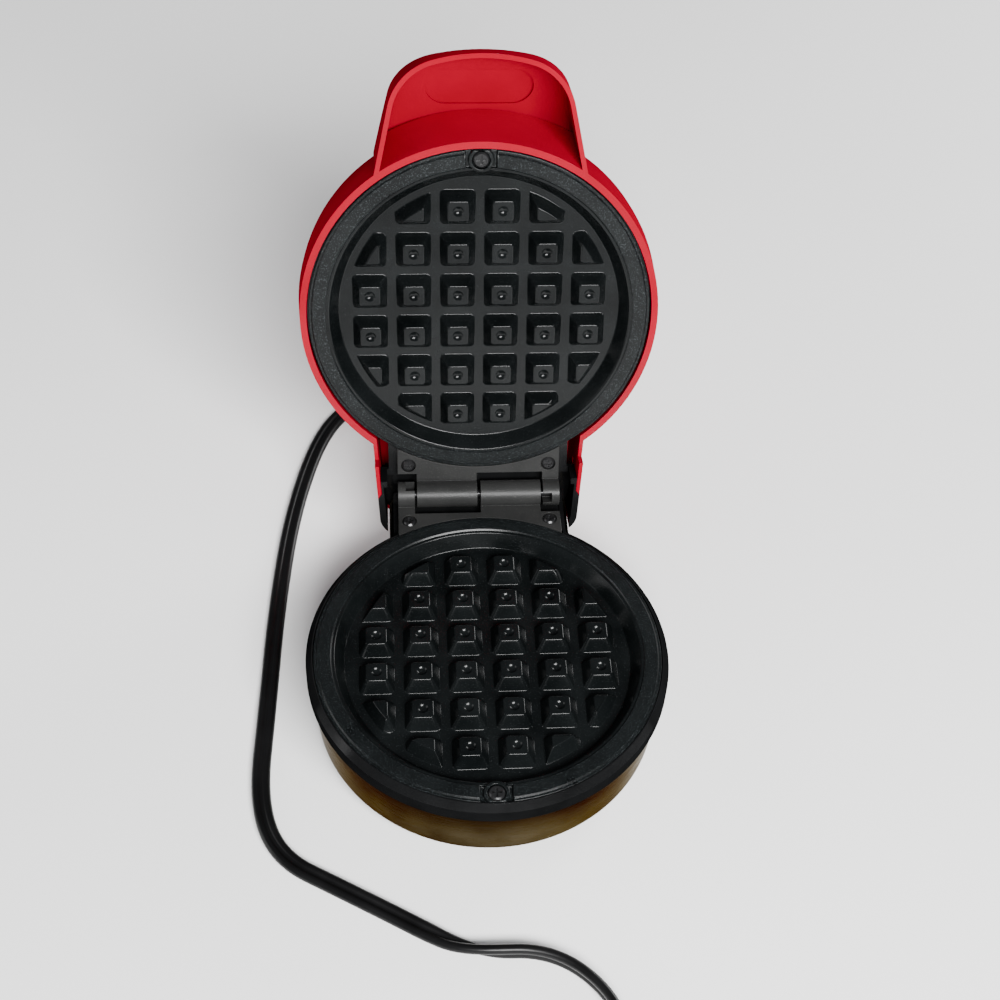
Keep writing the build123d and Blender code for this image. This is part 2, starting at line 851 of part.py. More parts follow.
with BuildPart() as scoop_recess:
    add(handle_block(scoop_wall, scoop_ceiling - recess_depth, scoop_edge_radius))
    with BuildSketch(Plane.XY.offset(lip_z)):
        with Locations((0, recess_reach - handle_reach)):
            SlotOverall(recess_length, recess_width)
    extrude(amount=lid_depth, mode=Mode.INTERSECT)

with BuildPart() as scoop:
    add(handle_block(scoop_wall, scoop_ceiling, scoop_edge_radius))
    add(scoop_recess.part)
    add(
        turned(
            [
                (0, lip_z),
                (lip_radius, lip_z),
                (lip_radius + scoop_lean, lip_z + scoop_depth),
                (0, crown_z),
            ]
        ),
        mode=Mode.SUBTRACT,
    )

with BuildPart() as neck_notch:
    with BuildSketch(Plane.YZ.offset(-notch_half_width)):
        with BuildLine():
            Polyline(
                (hinge_y, 0),
                (hinge_y, stop_z(hinge_y)),
                (2 * tail_back, stop_z(2 * tail_back)),
                (2 * tail_back, 0),
                close=True,
            )
        make_face()
    extrude(amount=2 * notch_half_width)

with BuildPart() as tail_lip:
    with BuildSketch(Plane.XY.offset(lip_z - tail_skirt)):
        add(tail_outline(0))
        add(tail_outline(lid_wall), mode=Mode.SUBTRACT)
        with BuildLine():
            Polyline(
                (-tail_root_half_width, hinge_y + liner_lip_start),
                (-notch_half_width, hinge_y + liner_lip_start - liner_lip_slant),
                (notch_half_width, hinge_y + liner_lip_start - liner_lip_slant),
                (tail_root_half_width, hinge_y + liner_lip_start),
                (tail_root_half_width, tail_back),
                (-tail_root_half_width, tail_back),
                close=True,
            )
        make_face(mode=Mode.INTERSECT)
    extrude(amount=liner_lip)
    add(neck_notch.part, mode=Mode.SUBTRACT)

with BuildPart() as lid_cover:
    add(dome(0))
    add(handle_block(0, 0, handle_edge_radius))
    add(tail_block(0, tail_edge_radius))
    with BuildSketch(Plane.XY.offset(lip_z)):
        add(tail_outline(0))
        with Locations((0, hinge_y - tail_skirt_reach)):
            Rectangle(
                4 * tail_root_half_width,
                tail_back,
                align=(Align.CENTER, Align.MAX),
                mode=Mode.SUBTRACT,
            )
    extrude(amount=-tail_skirt)
    add(scoop.part, mode=Mode.SUBTRACT)
    add(tail_block(tail_wall, 0), mode=Mode.SUBTRACT)
    with BuildSketch(Plane.XY.offset(lip_z)):
        add(tail_outline(tail_wall))
    extrude(amount=-tail_skirt, mode=Mode.SUBTRACT)
    add(tail_lip.part, mode=Mode.SUBTRACT)
    add(dome(lid_wall), mode=Mode.SUBTRACT)
    add(neck_notch.part, mode=Mode.SUBTRACT)
    add(
        turned(
            [
                (flange_mouth, flange_z),
                (lip_radius - lid_wall / 2, flange_z),
                (lip_radius - lid_wall / 2, flange_z + flange_thickness),
                (flange_mouth, flange_z + flange_thickness),
            ]
        )
    )
    with BuildSketch(Plane.XY.offset(flange_z)):
        with Locations((0, lid_wall_back - lid_wall)):
            Rectangle(2 * tail_root_half_width, tail_back, align=(Align.CENTER, Align.MIN))
    extrude(amount=flange_thickness, mode=Mode.SUBTRACT)
    with Locations((0, lens_y, crown_z)):
        Cylinder(lens_radius, lid_depth / 2, mode=Mode.SUBTRACT)

write(opened(lid_cover.part), "lid_cover")

# Black frame in the lid's mouth, drawn closed: it carries the upper plate and walls off the hinge
lid_ledge_z = 2 * mid_z - ledge_z
lid_deck_z = 2 * mid_z - deck_z
lid_frame_radius = lip_radius - lid_wall - seat_clearance
lid_deck_half_width = tail_back_half_width - lid_wall - neck_clearance
liner_inset = tail_wall + liner_fit
liner_front = lid_wall_back - lid_wall


def under_cover(front, rise):
    """What lies behind a front wall and under the sloping cover of the hinge, which follows the stop."""
    bottom_z = lip_z - tail_skirt
    with BuildPart() as space:
        with BuildSketch(Plane.YZ.offset(-tail_root_half_width)):
            with BuildLine():
                Polyline(
                    (front, bottom_z),
                    (front, stop_z(front) + rise),
                    (tail_back, stop_z(tail_back) + rise),
                    (tail_back, bottom_z),
                    close=True,
                )
            make_face()
        extrude(amount=2 * tail_root_half_width)
    return space.part


def within_tail(inset, space):
    """Part of a space that the tail's outline encloses."""
    with BuildPart() as inside:
        with BuildSketch(Plane.XY.offset(lip_z - tail_skirt)):
            add(tail_outline(inset))
        extrude(amount=lid_depth)
        add(space, mode=Mode.INTERSECT)
    return inside.part


with BuildPart() as hinge_housing:
    add(within_tail(liner_inset, under_cover(liner_front, seat_clearance + hinge_cover_thickness)))
    add(within_tail(lid_wall, under_cover(lid_wall_back, seat_clearance)), mode=Mode.SUBTRACT)
    with BuildSketch(Plane.XY.offset(lid_deck_z)):
        with Locations((0, liner_front)):
            Rectangle(2 * notch_half_width, 2 * lid_wall)
    extrude(amount=-lid_depth, mode=Mode.SUBTRACT)
    add(neck_notch.part, mode=Mode.SUBTRACT)
    add(tail_lip.part)

with BuildPart() as lid_frame:
    with BuildSketch(Plane.XY.offset(lid_deck_z)):
        with Locations((0, lid_wall_back)):
            Rectangle(
                2 * lid_deck_half_width,
                lid_wall_back - ledge_radius / 2,
                align=(Align.CENTER, Align.MAX),
            )
        Circle(ledge_radius, mode=Mode.SUBTRACT)
    extrude(amount=deck_thickness)
    add(hinge_housing.part)
    add(
        turned(
            [
                (ledge_radius, lid_ledge_z),
                (lid_frame_radius, lid_ledge_z),
                (lid_frame_radius, flange_z),
                (lid_frame_radius - lid_wall, flange_z),
                (lid_frame_radius - lid_wall, lid_ledge_z + ledge_thickness),
                (ledge_radius, lid_ledge_z + ledge_thickness),
            ]
        )
    )
    with BuildSketch(Plane.XY.offset(lid_deck_z)):
        with Locations((0, ledge_radius / 2)):
            Rectangle(2 * (ear_outer_x + seat_clearance), frame_radius, align=(Align.CENTER, Align.MIN))
        Circle(ledge_mouth, mode=Mode.SUBTRACT)
    extrude(amount=-frame_radius, mode=Mode.SUBTRACT)
    with BuildSketch(Plane.XY.offset(lid_ledge_z)):
        with Locations((0, plate_screw_y)):
            Circle(2 * screw_shank_radius)
    extrude(amount=flange_z - lid_ledge_z)
    with BuildSketch(Plane.XY.offset(lid_deck_z)):
        with Locations(*bracket_screws):
            Circle(2 * screw_shank_radius)
    extrude(amount=screw_length)
    with Locations((0, plate_screw_y, lid_ledge_z), *[(x, y, lid_deck_z) for x, y in bracket_screws]):
        Cylinder(screw_shank_radius, 2 * screw_length, mode=Mode.SUBTRACT)

write(opened(lid_frame.part), "lid_frame")

# Indicator on the crown: a clear lens, with its lamp between it and the reflector
lens_back_z = crown_z - lens_depth
lens_seat_z = crown_z - lens_y**2 / (2 * arc_radius(dome_edge_radius, dome_edge_drop))
lamp_foot_z = 2 * mid_z - reflector_z + lamp_clearance

with BuildPart() as indicator_lens:
    with BuildSketch(Plane.XY.offset(lens_back_z)):
        with Locations((0, lens_y)):
            Circle(lens_radius)
    extrude(amount=lens_seat_z + lens_rise - lens_back_z)
    fillet(indicator_lens.edges().group_by(Axis.Z)[-1], lens_edge_radius)

write(opened(indicator_lens.part), "indicator_lens")

with BuildPart() as indicator_lamp:
    with BuildSketch(Plane.XY.offset(lens_back_z)):
        with Locations((0, lens_y)):
            Circle(lamp_radius)
    extrude(amount=lamp_foot_z - lens_back_z)

write(opened(indicator_lamp.part), "indicator_lamp")

# Thermostat against the back of the lower plate, thermal fuse beside it, terminal block in the neck
with BuildPart() as thermostat:
    with BuildSketch(Plane.XY.offset(plate_back_z)):
        Circle(thermostat_radius)
    extrude(amount=-thermostat_height)
    with BuildSketch(Plane.XY.offset(plate_back_z - thermostat_height)):
        with Locations((-thermostat_radius / 2, 0), (thermostat_radius / 2, 0)):
            Rectangle(blade_thickness, blade_width)
    extrude(amount=-thermostat_height / 2)

write(thermostat.part, "thermostat")

with BuildPart() as thermal_fuse:
    with BuildSketch(Plane.XZ.offset(-fuse_y + fuse_length / 2)):
        with Locations((fuse_x, plate_back_z - fuse_radius)):
            Circle(fuse_radius)
    extrude(amount=-fuse_length)

write(thermal_fuse.part, "thermal_fuse")

with BuildPart() as terminal_block:
    with BuildSketch(Plane.XY.offset(deck_under)):
        with Locations((0, terminal_y)):
            Rectangle(terminal_length, terminal_width)
    extrude(amount=-terminal_height)
    with BuildSketch(Plane.XY.offset(deck_under - terminal_height)):
        with Locations((0, terminal_y)):
            with GridLocations(terminal_length / 3, 0, 3, 1):
                Circle(screw_shank_radius)
    extrude(amount=terminal_height / 2, mode=Mode.SUBTRACT)

write(terminal_block.part, "terminal_block")

# Strain relief on the back of the neck: a stem through the shell, a flange, and a sleeve of tapering ribs
relief_back = neck_back + relief_length
relief_front = neck_back - relief_stem_length
rib_pitch = (relief_length - relief_flange) / relief_ribs
relief_outline = [
    (relief_front, 0),
    (relief_front, relief_stem_radius),
    (neck_back, relief_stem_radius),
    (neck_back, relief_radius),
    (neck_back + relief_flange, relief_radius),
]
for rib in range(relief_ribs):
    rib_y = neck_back + relief_flange + rib * rib_pitch
    rib_radius = relief_radius - relief_taper * (rib + 1) / relief_ribs
    relief_outline += [
        (rib_y, rib_radius - rib_depth),
        (rib_y + rib_pitch / 2, rib_radius - rib_depth),
        (rib_y + rib_pitch / 2, rib_radius),
        (rib_y + rib_pitch, rib_radius),
    ]
relief_outline.append((relief_back, 0))

with BuildPart() as strain_relief:
    with BuildSketch(Plane.YZ):
        with BuildLine():
            Polyline(*[(y, relief_z + radius) for y, radius in relief_outline], close=True)
        make_face()
    revolve(axis=Axis((0, 0, relief_z), (0, 1, 0)))

write(strain_relief.part, "strain_relief")

# Cord: straight runs joined by tangent arcs, its broad face level
cord_z = cord_height / 2 + cord_lift
plug_z = plug_height / 2
cord_side = -shell_seam_radius - cord_gap
cord_route = [
    (0, relief_back, relief_z),
    (0, relief_back + 7, relief_z),
    (0, relief_back + 21, cord_z),
    (0, relief_back + 45, cord_z),
    (-17, relief_back + 62, cord_z),
    (cord_side + 31, relief_back + 62, cord_z),
    (cord_side + 14, relief_back + 45, cord_z),
    (cord_side + 3, relief_back + 3, cord_z),
    (cord_side - 2, hinge_y - 23, cord_z),
    (cord_side - 4, 0, cord_z),
    (cord_side - 6, -36, cord_z),
    (-70.5, -57.7, cord_z),
    (-50, -69.5, cord_z),
    (-28, -82.4, cord_z),
    (-9, -94, cord_z),
    (18, -94, cord_z),
    (37, -113, cord_z),
    (37, -138, cord_z),
    (19, -156, cord_z),
    (-20, -156, cord_z),
    (-34, -156, plug_z),
    (-41, -156, plug_z),
]


def corner_radius(before, corner, after):
    """Nearly as large an arc as the two runs at a corner allow."""
    run_in = Vector(corner) - Vector(before)
    run_out = Vector(after) - Vector(corner)
    turn = radians(run_in.get_angle(run_out))
    return cord_arc_share * min(run_in.length, run_out.length) / tan(turn / 2)


corner_radii = [corner_radius(*cord_route[i : i + 3]) for i in range(len(cord_route) - 2)]
print("cord radii", [round(radius, 1) for radius in corner_radii])

with BuildLine() as cord_line:
    FilletPolyline(*cord_route, radius=corner_radii)
cord_path = cord_line.wire()

with BuildPart() as power_cord:
    with BuildSketch(Plane(origin=cord_path @ 0, x_dir=(1, 0, 0), z_dir=cord_path % 0)):
        RectangleRounded(cord_width, cord_height, cord_edge_radius)
    sweep(path=cord_path)

write(power_cord.part, "power_cord")

# Plug at the far end, with a grip that narrows towards the cord, and its two flat blades
plug_start = Vector(cord_route[-1])
plug_heading = (plug_start - Vector(cord_route[-2])).normalized()
plug_plane = Plane(origin=plug_start, x_dir=Vector(0, 0, 1).cross(plug_heading), z_dir=plug_heading)

with BuildPart() as plug:
    for along, width, height in (
        (0, plug_neck_width, plug_neck_height),
        (plug_waist, plug_waist_width, plug_waist_height),
        (plug_shoulder, plug_width, plug_height),
        (plug_length, plug_width, plug_height),
    ):
        with BuildSketch(plug_plane.offset(along)):
            RectangleRounded(width, height, plug_corner)
    loft(ruled=True)

write(plug.part, "plug")

with BuildPart() as plug_blades:
    with BuildSketch(plug_plane.offset(plug_length)):
        with Locations((-blade_spacing / 2, 0), (blade_spacing / 2, 0)):
            Rectangle(blade_thickness, blade_width)
    extrude(amount=blade_length)

write(plug_blades.part, "plug_blades")
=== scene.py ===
import json
import math

import bmesh
import bpy
from mathutils import Matrix, Vector


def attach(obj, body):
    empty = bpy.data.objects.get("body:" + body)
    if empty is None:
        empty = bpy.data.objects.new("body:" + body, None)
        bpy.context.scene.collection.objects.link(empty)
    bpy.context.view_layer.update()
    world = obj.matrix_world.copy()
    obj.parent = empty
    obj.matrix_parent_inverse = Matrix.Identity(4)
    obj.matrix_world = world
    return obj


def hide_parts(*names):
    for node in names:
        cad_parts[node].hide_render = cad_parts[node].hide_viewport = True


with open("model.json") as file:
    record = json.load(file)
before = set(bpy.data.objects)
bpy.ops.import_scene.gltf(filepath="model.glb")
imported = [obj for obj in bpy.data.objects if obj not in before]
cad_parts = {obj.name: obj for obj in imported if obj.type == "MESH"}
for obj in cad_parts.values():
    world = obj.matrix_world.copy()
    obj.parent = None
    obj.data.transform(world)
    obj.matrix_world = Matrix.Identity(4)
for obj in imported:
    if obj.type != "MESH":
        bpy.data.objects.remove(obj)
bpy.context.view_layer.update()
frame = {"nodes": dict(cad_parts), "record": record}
nodes = frame["nodes"]

# Sizes in metres, as the model has them: the lead's own, and heights of its centre line
CORD_WIDTH = 0.0064
CORD_HEIGHT = 0.0033
CORD_Z = 0.0017
PLUG_Z = 0.007

# Middle of each plate's cooking face, and where the pan ends and the sprayed rim begins
PLATE_CENTRES = ((0.0, 0.0, 0.0340), (0.0, 0.0936, 0.1000))
PAN_RADIUS = 0.0522
RIM_RADIUS = 0.0530

# Band of the steel shell, in height, over which painted shade darkens it towards its mouth
STEEL_PAINTED_SHADE_FROM = 0.012
STEEL_PAINTED_SHADE_TO = 0.027

# Edges sharper than these are rounded, on the plates only the sharpest, so dimples stay crisp
EDGE_ANGLE = math.radians(32)
PLATE_EDGE_ANGLE = math.radians(57)
FLAT_ANGLE = math.radians(0.5)
JOIN_DISTANCE = 0.000002

# The lead stands on its edge from one x to another, and lies down again over a stretch of y
TURN_ANGLE = math.radians(88)
TURN_X = -0.026
TURN_LENGTH = 0.030
UNTURN_Y = -0.140
UNTURN_LENGTH = 0.024

# Camera: the photograph's viewpoint, solved from the two plates
VIEW_AZIMUTH = -0.0955364
VIEW_ELEVATION = 0.8557938
VIEW_ROLL = 0.0533230
VIEW_DISTANCE = 0.513386
VIEW_TARGET = Vector((0.001347, 0.0, 0.111388))
LENS = 61.164


def make_camera():
    """Camera at the photograph's viewing angle, with no shift and no depth of field."""
    back = Vector(
        (
            math.sin(VIEW_AZIMUTH) * math.cos(VIEW_ELEVATION),
            -math.cos(VIEW_AZIMUTH) * math.cos(VIEW_ELEVATION),
            math.sin(VIEW_ELEVATION),
        )
    )
    right = (-back).cross(Vector((0, 0, 1))).normalized()
    up = right.cross(-back)
    rolled_right = right * math.cos(VIEW_ROLL) + up * math.sin(VIEW_ROLL)
    rolled_up = up * math.cos(VIEW_ROLL) - right * math.sin(VIEW_ROLL)
    data = bpy.data.cameras.new("photo_camera")
    data.lens = LENS
    data.sensor_width = 36
    data.sensor_fit = "HORIZONTAL"
    data.clip_start = 0.01
    data.clip_end = 20
    camera = bpy.data.objects.new("photo_camera", data)
    turn = Matrix((rolled_right, rolled_up, back)).transposed().to_4x4()
    turn.translation = VIEW_TARGET + back * VIEW_DISTANCE
    camera.matrix_world = turn
    bpy.context.scene.collection.objects.link(camera)
    bpy.context.scene.camera = camera


def add_mesh(name, mesh_data, body, material):
    """Link a piece, make it ride on its body and give it its finish."""
    piece = bpy.data.objects.new(name, mesh_data)
    bpy.context.scene.collection.objects.link(piece)
    mesh_data.materials.append(material)
    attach(piece, body)
    return piece


# Shader helpers


def new_group(name, inputs, outputs):
    """Shader node group: inputs are (name, kind, default) and outputs are (name, kind)."""
    group = bpy.data.node_groups.new(name, "ShaderNodeTree")
    for label, kind, default in inputs:
        socket = group.interface.new_socket(name=label, in_out="INPUT", socket_type=kind)
        socket.default_value = default
    for label, kind in outputs:
        group.interface.new_socket(name=label, in_out="OUTPUT", socket_type=kind)
    start = group.nodes.new("NodeGroupInput")
    end = group.nodes.new("NodeGroupOutput")
    return group, start, end


def add_node(tree, kind, **settings):
    """Node with its own settings, given by attribute name."""
    node = tree.nodes.new(kind)
    for key, value in settings.items():
        setattr(node, key, value)
    return node


def noise(tree, vector, scale, detail=3.0, roughness=0.5):
    """Noise value over the surface."""
    node = add_node(tree, "ShaderNodeTexNoise")
    node.inputs["Scale"].default_value = scale
    node.inputs["Detail"].default_value = detail
    node.inputs["Roughness"].default_value = roughness
    tree.links.new(vector, node.inputs["Vector"])
    return node.outputs["Fac"]


def ramp(tree, value, low, high, out_low=0.0, out_high=1.0):
    """Value moved from one range to another and held inside it."""
    node = add_node(tree, "ShaderNodeMapRange", clamp=True)
    node.inputs["From Min"].default_value = low
    node.inputs["From Max"].default_value = high
    node.inputs["To Min"].default_value = out_low
    node.inputs["To Max"].default_value = out_high
    tree.links.new(value, node.inputs["Value"])
    return node.outputs["Result"]


def math_node(tree, operation, first, second):
    """One arithmetic step; either side may be a number."""
    node = add_node(tree, "ShaderNodeMath", operation=operation)
    for socket, value in zip(node.inputs, (first, second)):
        if isinstance(value, (int, float)):
            socket.default_value = value
        else:
            tree.links.new(value, socket)
    return node.outputs[0]


def blend_colour(tree, mask, first, second):
    """Two colours mixed by a mask; either may be a plain colour."""
    node = add_node(tree, "ShaderNodeMix", data_type="RGBA")
    tree.links.new(mask, node.inputs["Factor"])
    for socket, value in ((node.inputs[6], first), (node.inputs[7], second)):
        if isinstance(value, (tuple, list)):
            socket.default_value = value
        else:
            tree.links.new(value, socket)
    return node.outputs[2]


def make_grain_group():
    """Grain of a sprayed or cast surface: a height, a speckle mask and a slow mottle."""
    group, start, end = new_group(
        "surface_grain",
        [
            ("Grain size", "NodeSocketFloat", 2500.0),
            ("Speckle share", "NodeSocketFloat", 0.62),
            ("Mottle size", "NodeSocketFloat", 60.0),
        ],
        [
            ("Height", "NodeSocketFloat"),
            ("Speckle", "NodeSocketFloat"),
            ("Mottle", "NodeSocketFloat"),
        ],
    )
    place = add_node(group, "ShaderNodeTexCoord").outputs["Object"]
    fine = add_node(group, "ShaderNodeTexNoise")
    fine.inputs["Detail"].default_value = 2.0
    coarse = add_node(group, "ShaderNodeTexNoise")
    coarse.inputs["Detail"].default_value = 4.0
    group.links.new(place, fine.inputs["Vector"])
    group.links.new(place, coarse.inputs["Vector"])
    group.links.new(start.outputs["Grain size"], fine.inputs["Scale"])
    group.links.new(start.outputs["Mottle size"], coarse.inputs["Scale"])
    spark = add_node(group, "ShaderNodeMapRange", clamp=True)
    spark.inputs["From Max"].default_value = 0.85
    group.links.new(start.outputs["Speckle share"], spark.inputs["From Min"])
    group.links.new(fine.outputs["Fac"], spark.inputs["Value"])
    group.links.new(fine.outputs["Fac"], end.inputs["Height"])
    group.links.new(spark.outputs["Result"], end.inputs["Speckle"])
    group.links.new(ramp(group, coarse.outputs["Fac"], 0.3, 0.7), end.inputs["Mottle"])
    return group


grain_group = make_grain_group()


def new_material(name):
    """New material with its Principled BSDF and output."""
    material = bpy.data.materials.new(name)
    material.use_nodes = True
    tree = material.node_tree
    shader = tree.nodes["Principled BSDF"]
    return material, tree, shader


def place_group(tree, group, **values):
    """A node group in a material, with its own values by socket name."""
    node = add_node(tree, "ShaderNodeGroup", node_tree=group)
    for label, value in values.items():
        node.inputs[label.replace("_", " ")].default_value = value
    return node


def bump(tree, shader, height, strength, distance):
    """Bump that feeds the shader's normal."""
    node = add_node(tree, "ShaderNodeBump")
    node.inputs["Strength"].default_value = strength
    node.inputs["Distance"].default_value = distance
    tree.links.new(height, node.inputs["Height"])
    tree.links.new(node.outputs["Normal"], shader.inputs["Normal"])


def fade_gloss(tree, shader, near, far, level):
    """Reflection that fades towards grazing angles, which keeps the pale floor off the colour.

    Real plastic reflects more there, not less. The fade is a choice for this scene's looks.
    """
    facing = add_node(tree, "ShaderNodeLayerWeight").outputs["Facing"]
    tree.links.new(ramp(tree, facing, near, far, level, 0.0), shader.inputs["Specular IOR Level"])


def speckled_finish(
    name,
    dark,
    light,
    fleck,
    grain_size,
    speckle_share,
    roughness,
    rough_swing,
    bump_depth,
    metallic=0.0,
    specular=0.5,
    fading=False,
):
    """Sprayed or moulded finish: mottled colour, light flecks and grained gloss."""
    material, tree, shader = new_material(name)
    grain = place_group(tree, grain_group, Grain_size=grain_size, Speckle_share=speckle_share)
    ground = blend_colour(tree, grain.outputs["Mottle"], (*dark, 1), (*light, 1))
    flecked = blend_colour(tree, grain.outputs["Speckle"], ground, (*fleck, 1))
    tree.links.new(flecked, shader.inputs["Base Color"])
    smoothest, roughest = roughness - rough_swing, roughness + rough_swing
    gloss = ramp(tree, grain.outputs["Mottle"], 0, 1, smoothest, roughest)
    tree.links.new(gloss, shader.inputs["Roughness"])
    bump(tree, shader, grain.outputs["Height"], 1.0, bump_depth)
    shader.inputs["Metallic"].default_value = metallic
    if fading:
        fade_gloss(tree, shader, 0.26, 0.38, specular)
    else:
        shader.inputs["Specular IOR Level"].default_value = specular
    return material


def nonstick_coat():
    """Glossy black coat inside the pans, sprayed coarser and duller on their flat rims."""
    material, tree, shader = new_material("nonstick")
    place = add_node(tree, "ShaderNodeTexCoord").outputs["Object"]
    reach = []
    for centre in PLATE_CENTRES:
        gap = add_node(tree, "ShaderNodeVectorMath", operation="DISTANCE")
        gap.inputs[1].default_value = centre
        tree.links.new(place, gap.inputs[0])
        reach.append(gap.outputs["Value"])
    rim = ramp(tree, math_node(tree, "MINIMUM", *reach), PAN_RADIUS, RIM_RADIUS)
    inner = place_group(tree, grain_group, Grain_size=3000.0, Speckle_share=0.64)
    outer = place_group(tree, grain_group, Grain_size=2400.0, Speckle_share=0.56)
    speckle = blend_colour(tree, rim, inner.outputs["Speckle"], outer.outputs["Speckle"])
    ground = blend_colour(
        tree, inner.outputs["Mottle"], (0.0016, 0.0021, 0.0022, 1), (0.0048, 0.0058, 0.0060, 1)
    )
    fleck = blend_colour(tree, rim, (0.030, 0.034, 0.035, 1), (0.060, 0.070, 0.073, 1))
    colour = blend_colour(tree, speckle, ground, fleck)
    tree.links.new(colour, shader.inputs["Base Color"])
    dull = math_node(tree, "MULTIPLY", rim, 0.10)
    gloss = math_node(tree, "ADD", ramp(tree, inner.outputs["Mottle"], 0, 1, 0.17, 0.23), dull)
    tree.links.new(gloss, shader.inputs["Roughness"])
    height = math_node(tree, "MULTIPLY", outer.outputs["Height"], ramp(tree, rim, 0, 1, 0.2, 1.0))
    bump(tree, shader, height, 1.0, 0.00003)
    shader.inputs["Specular IOR Level"].default_value = 0.17
    return material


def red_shell():
    """Glossy red moulded plastic with a faint mottle and slow waves in its skin."""
    material, tree, shader = new_material("red_gloss")
    grain = place_group(tree, grain_group, Mottle_size=35.0)
    mottle = grain.outputs["Mottle"]
    colour = blend_colour(tree, mottle, (0.22, 0.0, 0.009, 1), (0.26, 0.0, 0.012, 1))
    tree.links.new(colour, shader.inputs["Base Color"])
    tree.links.new(ramp(tree, mottle, 0, 1, 0.10, 0.16), shader.inputs["Roughness"])
    place = add_node(tree, "ShaderNodeTexCoord").outputs["Object"]
    bump(tree, shader, noise(tree, place, 120, 2), 0.25, 0.00015)
    fade_gloss(tree, shader, 0.25, 0.65, 0.13)
    return material


def drawn_steel():
    """Drawn steel of the base, its brown a painted reflection of a table, and painted shade
    darkening it under the mouth.
    """
    material, tree, shader = new_material("steel")
    place = add_node(tree, "ShaderNodeTexCoord").outputs["Object"]
    split = add_node(tree, "ShaderNodeSeparateXYZ")
    tree.links.new(place, split.inputs[0])
    height = split.outputs["Z"]
    stretched = add_node(tree, "ShaderNodeMapping")
    stretched.inputs["Scale"].default_value = (1, 1, 14)
    tree.links.new(place, stretched.inputs["Vector"])
    lines = noise(tree, stretched.outputs["Vector"], 90, 4, 0.6)
    cloud = noise(tree, place, 45, 3)
    clouded = ramp(tree, cloud, 0.35, 0.65)
    # Brown ground with random cloudy tone; the brown is a painted reflection of a table
    low = blend_colour(tree, clouded, (0.044, 0.039, 0.030, 1), (0.078, 0.069, 0.054, 1))
    # Painted shade: the steel turns darker with height, towards the mouth above it
    painted_shade = ramp(tree, height, STEEL_PAINTED_SHADE_FROM, STEEL_PAINTED_SHADE_TO)
    colour = blend_colour(tree, painted_shade, low, (0.024, 0.020, 0.015, 1))
    tree.links.new(colour, shader.inputs["Base Color"])
    tree.links.new(ramp(tree, lines, 0.3, 0.7, 0.22, 0.36), shader.inputs["Roughness"])
    bump(tree, shader, lines, 0.3, 0.00004)
    shader.inputs["Metallic"].default_value = 1.0
    # Warm tint of the gloss, part of the painted reflection of a brown table
    shader.inputs["Specular Tint"].default_value = (0.38, 0.34, 0.28, 1)
    return material


def plain_metal(name, colour, roughness, lines=400.0):
    """Bright or dull metal with fine lines in its gloss."""
    material, tree, shader = new_material(name)
    place = add_node(tree, "ShaderNodeTexCoord").outputs["Object"]
    marks = noise(tree, place, lines, 5, 0.65)
    darker = tuple(0.8 * c for c in colour)
    tree.links.new(
        blend_colour(tree, ramp(tree, marks, 0.35, 0.65), (*darker, 1), (*colour, 1)),
        shader.inputs["Base Color"],
    )
    gloss = ramp(tree, marks, 0.3, 0.7, roughness * 0.8, roughness * 1.25)
    tree.links.new(gloss, shader.inputs["Roughness"])
    bump(tree, shader, marks, 0.2, 0.00004)
    shader.inputs["Metallic"].default_value = 1.0
    return material


def lens_plastic():
    """Clear red plastic of the indicator."""
    material, tree, shader = new_material("lens")
    place = add_node(tree, "ShaderNodeTexCoord").outputs["Object"]
    depth = ramp(tree, noise(tree, place, 300, 2), 0.3, 0.7)
    tree.links.new(
        blend_colour(tree, depth, (0.70, 0.10, 0.04, 1), (0.85, 0.2, 0.08, 1)),
        shader.inputs["Base Color"],
    )
    shader.inputs["Transmission Weight"].default_value = 0.7
    shader.inputs["Roughness"].default_value = 0.12
    shader.inputs["IOR"].default_value = 1.49
    return material


# Sprayed and moulded finishes: dark and light ground, flecks, grain, gloss and its swing
speckled_looks = {
    "black_plastic": {
        "dark": (0.0030, 0.0031, 0.0032),
        "light": (0.0055, 0.0057, 0.0060),
        "fleck": (0.020, 0.020, 0.021),
        "grain_size": 1500.0,
        "speckle_share": 0.72,
        "roughness": 0.17,
        "rough_swing": 0.03,
        "bump_depth": 0.00001,
        "specular": 0.25,
        "fading": True,
    },
    "black_plastic_fine": {
        "dark": (0.0120, 0.0122, 0.0121),
        "light": (0.0190, 0.0192, 0.0188),
        "fleck": (0.055, 0.054, 0.051),
        "grain_size": 2600.0,
        "speckle_share": 0.60,
        "roughness": 0.38,
        "rough_swing": 0.05,
        "bump_depth": 0.00006,
        "specular": 0.20,
    },
    "black_screw": {
        "dark": (0.010, 0.010, 0.0105),
        "light": (0.018, 0.018, 0.019),
        "fleck": (0.08, 0.08, 0.08),
        "grain_size": 1800.0,
        "speckle_share": 0.68,
        "roughness": 0.30,
        "rough_swing": 0.05,
        "bump_depth": 0.00003,
        "metallic": 0.5,
    },
    "cord_vinyl": {
        "dark": (0.0022, 0.0022, 0.0023),
        "light": (0.0042, 0.0042, 0.0044),
        "fleck": (0.02, 0.02, 0.021),
        "grain_size": 1300.0,
        "speckle_share": 0.74,
        "roughness": 0.34,
        "rough_swing": 0.05,
        "bump_depth": 0.00003,
        "specular": 0.22,
    },
    "foot_rubber": {
        "dark": (0.018, 0.018, 0.018),
        "light": (0.030, 0.030, 0.030),
        "fleck": (0.06, 0.06, 0.06),
        "grain_size": 1600.0,
        "speckle_share": 0.68,
        "roughness": 0.75,
        "rough_swing": 0.08,
        "bump_depth": 0.00006,
    },
    "lamp_body": {
        "dark": (0.55, 0.53, 0.47),
        "light": (0.66, 0.64, 0.58),
        "fleck": (0.75, 0.73, 0.70),
        "grain_size": 900.0,
        "speckle_share": 0.70,
        "roughness": 0.5,
        "rough_swing": 0.06,
        "bump_depth": 0.00003,
    },
}
